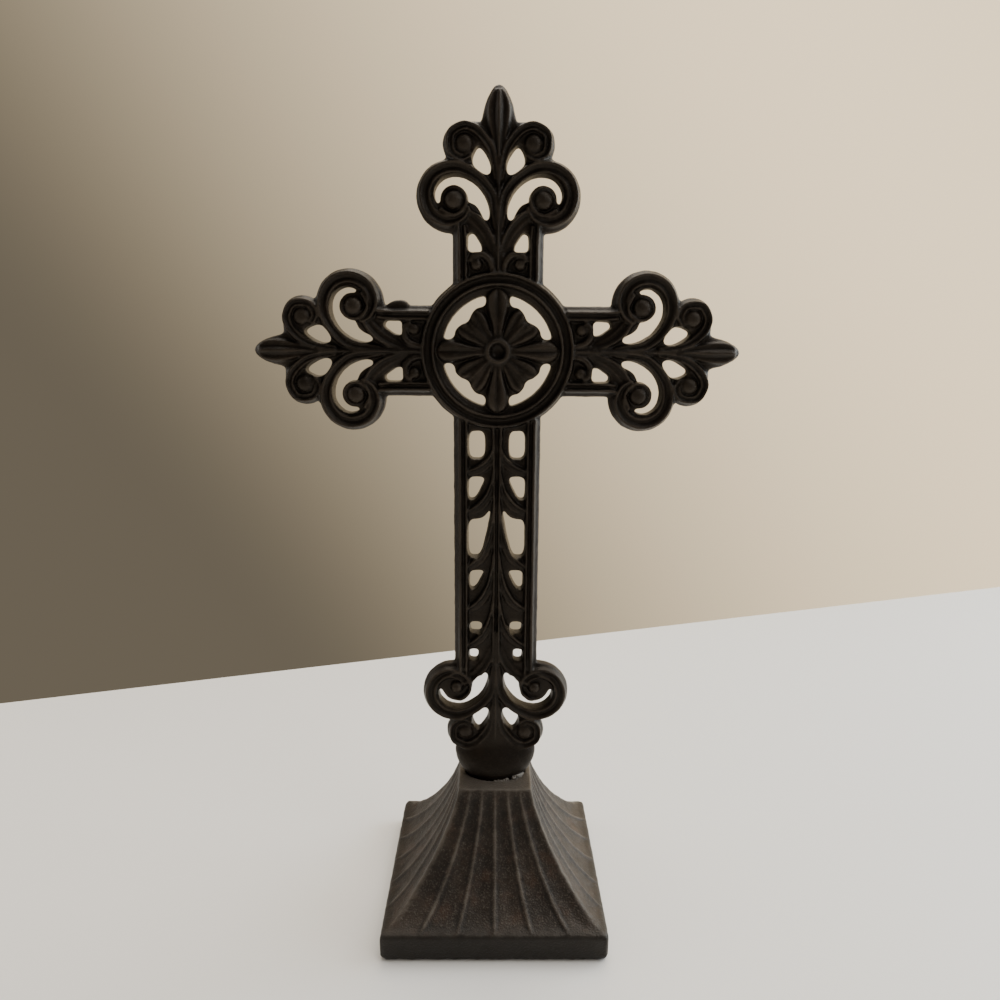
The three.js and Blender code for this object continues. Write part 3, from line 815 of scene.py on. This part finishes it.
# Ribs that run up the flare, drawn for one face and repeated on all four.
def ribTree():
    tree, given, result = newTree("ribs on the flare", [
        ("Step", "Float"), ("Round Sides", "Int"), ("Faces", "Int"), ("Iron", "Material")])
    path = step(tree, "GeometryNodeMeshToCurve", Mesh=given["Geometry"])
    even = step(tree, "GeometryNodeResampleCurve", {"mode": "LENGTH"}, Curve=path[0], Length=given["Step"])
    half = step(tree, "GeometryNodeInputNamedAttribute", {"data_type": "FLOAT"}, Name="halfWidth")
    circle = step(tree, "GeometryNodeCurvePrimitiveCircle", Radius=1.0, Resolution=given["Round Sides"])
    swept = step(tree, "GeometryNodeCurveToMesh", Curve=even[0], Profile_Curve=circle[0], Scale=half[0],
                 Fill_Caps=True)
    ended(tree, repeatedAround(tree, swept[0], given["Faces"]), given["Iron"], result)
    return tree


def baseMesh():
    sizes = baseSizes
    half, edge, low = sizes["side"] / 2, sizes["edge"], sizes["plinthHeight"]
    plinth = skinned("plinth", [
        squareLoop(half - inset * edge, height, rounding=sizes["plinthRounding"]) for inset, height in (
            (1, 0), (0.3, edge * 0.3), (0, edge), (0, low - edge), (0.3, low - edge * 0.3), (1, low))])
    foot = low - sizes["overlap"]
    rise = sizes["height"] - foot
    shares = [0, 0.01, 0.025, 0.05, 0.08, 0.12, 0.17, 0.23, 0.3, 0.38, 0.47, 0.57, 0.68, 0.79, 0.9, 0.97, 1]
    flare = skinned("flare", [
        squareLoop(flareHalf(t) - (sizes["topEdge"] if t == 1 else 0), foot + rise * t,
                   sizes["fluting"] * min(1, t * 30, (1 - t) * 18)) for t in shares])
    ceiling = (sizes["height"] - sizes["socketDepth"] - sizes["wall"] - foot) / rise
    inside = [squareLoop(half - sizes["wall"], -1)]
    inside += [squareLoop(flareHalf(t) - sizes["wall"], foot + rise * t) for t in shares if t < ceiling]
    inside.append(squareLoop(flareHalf(ceiling) - sizes["wall"], foot + rise * ceiling))
    depths = (sizes["height"] - sizes["socketDepth"], sizes["height"] + 1)
    socket = [[(x, -z, y) for x, y, z in ellipse(*sizes["socketAxes"], height)] for height in depths]
    points, edges, widths = [], [], []
    for rib in range(1, sizes["ribsPerFace"] + 1):
        across = -1 + 2 * rib / (sizes["ribsPerFace"] + 1)
        first = len(points)
        run = [(across * flareHalf(t), -flareHalf(t) + sizes["ribInset"], foot + rise * t)
               for t in shares if t <= sizes["ribEnd"]]
        points += run
        widths += [sizes["ribRadius"] * min(1, 0.5 + i * 0.2, 0.4 + (len(run) - 1 - i) * 0.3)
                   for i in range(len(run))]
        edges += [(i, i + 1) for i in range(first, len(points) - 1)]
    paths = meshOf("rib paths", points, [], edges)
    keepOnPoints(paths, "halfWidth", widths)
    ribs = grown("ribs", ribTree(), paths, {
        "Step": sizes["ribStep"], "Round Sides": sizes["ribSides"], "Faces": 4, "Iron": baseIron})
    print("base drawn with", sizes["ribsPerFace"], "ribs on each face")
    drawn = joined("base", [plinth, flare, ribs])
    whole = modified(drawn, "REMESH", mode="VOXEL", voxel_size=sizes["voxel"])
    hollow = cutBy(whole, [skinned("inside", inside), skinned("socket", socket)])
    soft = softened(hollow, sizes["voxel"], sizes["softening"])
    limits = [(-half, half), (-half, half), (0, sizes["height"])]
    sandCast(soft, sizes["unevenness"], sizes["unevenGrain"], limits)
    markCrests(soft)
    markTopLight(soft, sizes["height"] - sizes["topLightBand"])
    return thinned("base", soft, sizes["triangles"])


fillerSizes = {
    "first": -88, "last": -14,      # bearings round the socket, in degrees
    "reach": (12.3, 8.3),           # half axes of the line that it follows
    "floor": 55.6,
    "thick": 1.3,
    "highest": 2.4,
    "highestAt": -42,
    "hole": (6.6, -7.4, 0.75),      # its place and radius
    "voxel": 0.22,
    "softening": 1,
    "unevenness": 0.3,
    "unevenGrain": 0.9,
    "crestRounds": 6,
    "crestReach": 0.16,
    "triangles": 20000,
}


# the rough lump of filler at the front right of the socket, with its small hole
def fillerMesh():
    sizes = fillerSizes
    floor, blobs = sizes["floor"], []
    for bearing in np.arange(sizes["first"], sizes["last"], 5.0):
        a = math.radians(bearing)
        swell = math.exp(-((bearing - sizes["highestAt"]) / 20) ** 2)
        height = 0.7 + (sizes["highest"] - 0.7) * swell
        thick = sizes["thick"] * (0.7 + 0.4 * swell)
        centre = (sizes["reach"][0] * math.cos(a), sizes["reach"][1] * math.sin(a))
        blobs.append(lathed("blob", [
            (0.1, floor - 1), (thick, floor - 1), (thick, floor), (thick * 0.8, floor + height * 0.6),
            (thick * 0.4, floor + height * 0.9), (0.1, floor + height)], 16, centre))
    lump = modified(joined("filler", blobs), "REMESH", mode="VOXEL", voxel_size=sizes["voxel"])
    x, y, radius = sizes["hole"]
    lump = cutBy(lump, [lathed("hole", [(radius, floor - 3), (radius, floor + 5)], 20, (x, y))])
    lump = softened(lump, sizes["voxel"], sizes["softening"])
    sandCast(lump, sizes["unevenness"], sizes["unevenGrain"], [(None, None)] * 3)
    markCrests(lump, sizes["crestRounds"], sizes["crestReach"])
    return thinned("filler", lump, sizes["triangles"])


filler = ironMaterial("filler", {
    "dark": (0.025, 0.020, 0.016),
    "light": (0.12, 0.105, 0.088),
    "rust": (0.07, 0.05, 0.036),
    "wornAndHighlight": (0.20, 0.18, 0.155),
    "grimeAndShade": (0.015, 0.012, 0.010),
    "rustShare": 0.3,
    "leastWearAndHighlight": 0.3,
    "speckleShare": 0.3,
    "footShade": 0.0,
    "metallic": 0.0,
    "specular": 0.45,
    "sheen": (1.0, 1.0, 1.0),
    "roughness": 0.6,
    "cloudScale": 200,
    "grainScale": 1500,
    "grainStrength": 0.6,
})

standing = Matrix.Rotation(math.radians(90), 4, "X")
finished("ironCross", crossMesh(), standing, "cross", crossIron)
finished("flaredBase", baseMesh(), Matrix.Identity(4), "base", baseIron)
finished("fillerLump", fillerMesh(), Matrix.Identity(4), None, filler)
dropped(*sectionPieces.values())

# the plain table top and the room's light
stageLook = {
    "tableColour": (0.78, 0.77, 0.75),
    "tableRoughness": 0.5,
    "wallLeft": (0.15, 0.126, 0.089),     # what the room shows beyond the table, from left to right
    "wallRight": (1.7, 1.36, 0.88),
    "roomColour": (0.19, 0.170, 0.143),   # and on the viewer's side
    "wallSpan": (-0.57, 0.7),             # bearings at which the wall is darkest and palest, in radians
    "wallSlant": 0.7,                     # how much the wall pales upwards
    "roomSpan": (-0.7, 0.6),              # from the viewer's side to the wall
    "lightAim": (0, 0, 0.15),
}
tableCorners = [(-2, -1.6, 0), (2, -1.6, 0), (2, 0.88, 0), (-2, -0.34, 0)]
tableTop = meshOf("table top", tableCorners, [(0, 1, 2, 3)])
paint = bpy.data.materials.new("table paint")
paint.use_nodes = True
coat = paint.node_tree.nodes["Principled BSDF"].inputs
coat["Base Color"].default_value = (*stageLook["tableColour"], 1)
coat["Roughness"].default_value = stageLook["tableRoughness"]
tableTop.materials.append(paint)
placed("tableTop", tableTop)


def softLight(name, light):
    lamp = bpy.data.lights.new(name, "AREA")
    lamp.shape = "RECTANGLE"
    lamp.size, lamp.size_y = light["size"]
    lamp.energy = light["power"]
    lamp.color = light["colour"]
    holder = placed(name, lamp)
    holder.location = light["place"]
    towards = Vector(stageLook["lightAim"]) - Vector(light["place"])
    holder.rotation_euler = towards.to_track_quat("-Z", "Y").to_euler()


roomLights = {
    "window": {"place": (0.9, 0.2, 0.45), "size": (0.7, 0.9), "power": 11, "colour": (0.78, 0.90, 1)},
    "leftWall": {"place": (-0.9, 0.15, 0.45), "size": (0.8, 0.8), "power": 3.5, "colour": (1, 0.96, 0.9)},
    "ceiling": {"place": (0.1, 0.25, 1.1), "size": (1.0, 0.9), "power": 10, "colour": (1, 0.99, 0.97)},
    "upperRight": {"place": (0.6, -0.5, 0.8), "size": (0.4, 0.4), "power": 2, "colour": (0.97, 0.98, 1)},
}
for name, light in roomLights.items():
    softLight(name, light)
room = bpy.data.worlds.new("room")
bpy.context.scene.world = room
room.use_nodes = True
tree = room.node_tree
towards = step(tree, "ShaderNodeSeparateXYZ", Vector=step(tree, "ShaderNodeTexCoord")["Generated"])
bearing = step(tree, "ShaderNodeMath", {"operation": "ARCTAN2"}, n0=towards["X"], n1=towards["Y"])[0]
slanted = step(tree, "ShaderNodeMath", {"operation": "MULTIPLY_ADD"}, n0=towards["Z"],
               n1=stageLook["wallSlant"], n2=bearing)[0]
across = ranged(tree, slanted, stageLook["wallSpan"], kind="SMOOTHSTEP")
behind = ranged(tree, towards["Y"], stageLook["roomSpan"], kind="SMOOTHSTEP")
wall = tinted(tree, across, (*stageLook["wallLeft"], 1), (*stageLook["wallRight"], 1))
around = tinted(tree, behind, (*stageLook["roomColour"], 1), wall)
tree.links.new(around, tree.nodes["Background"].inputs["Color"])

# a phone's camera about 0.3 m in front, tilted down
cameraView = {
    "lens": 27.18,
    "place": (-0.00138, -0.29832, 0.23882),
    "yaw": -0.009073,
    "down": 0.206843,
    "roll": -0.007225,
}
lens = bpy.data.cameras.new("camera")
lens.lens = cameraView["lens"]
lens.clip_start = 0.01
camera = placed("camera", lens)
camera.matrix_world = (Matrix.Translation(cameraView["place"]) @ Matrix.Rotation(cameraView["yaw"], 4, "Z")
                       @ Matrix.Rotation(math.pi / 2 - cameraView["down"], 4, "X")
                       @ Matrix.Rotation(-cameraView["roll"], 4, "Z"))
bpy.context.scene.camera = camera
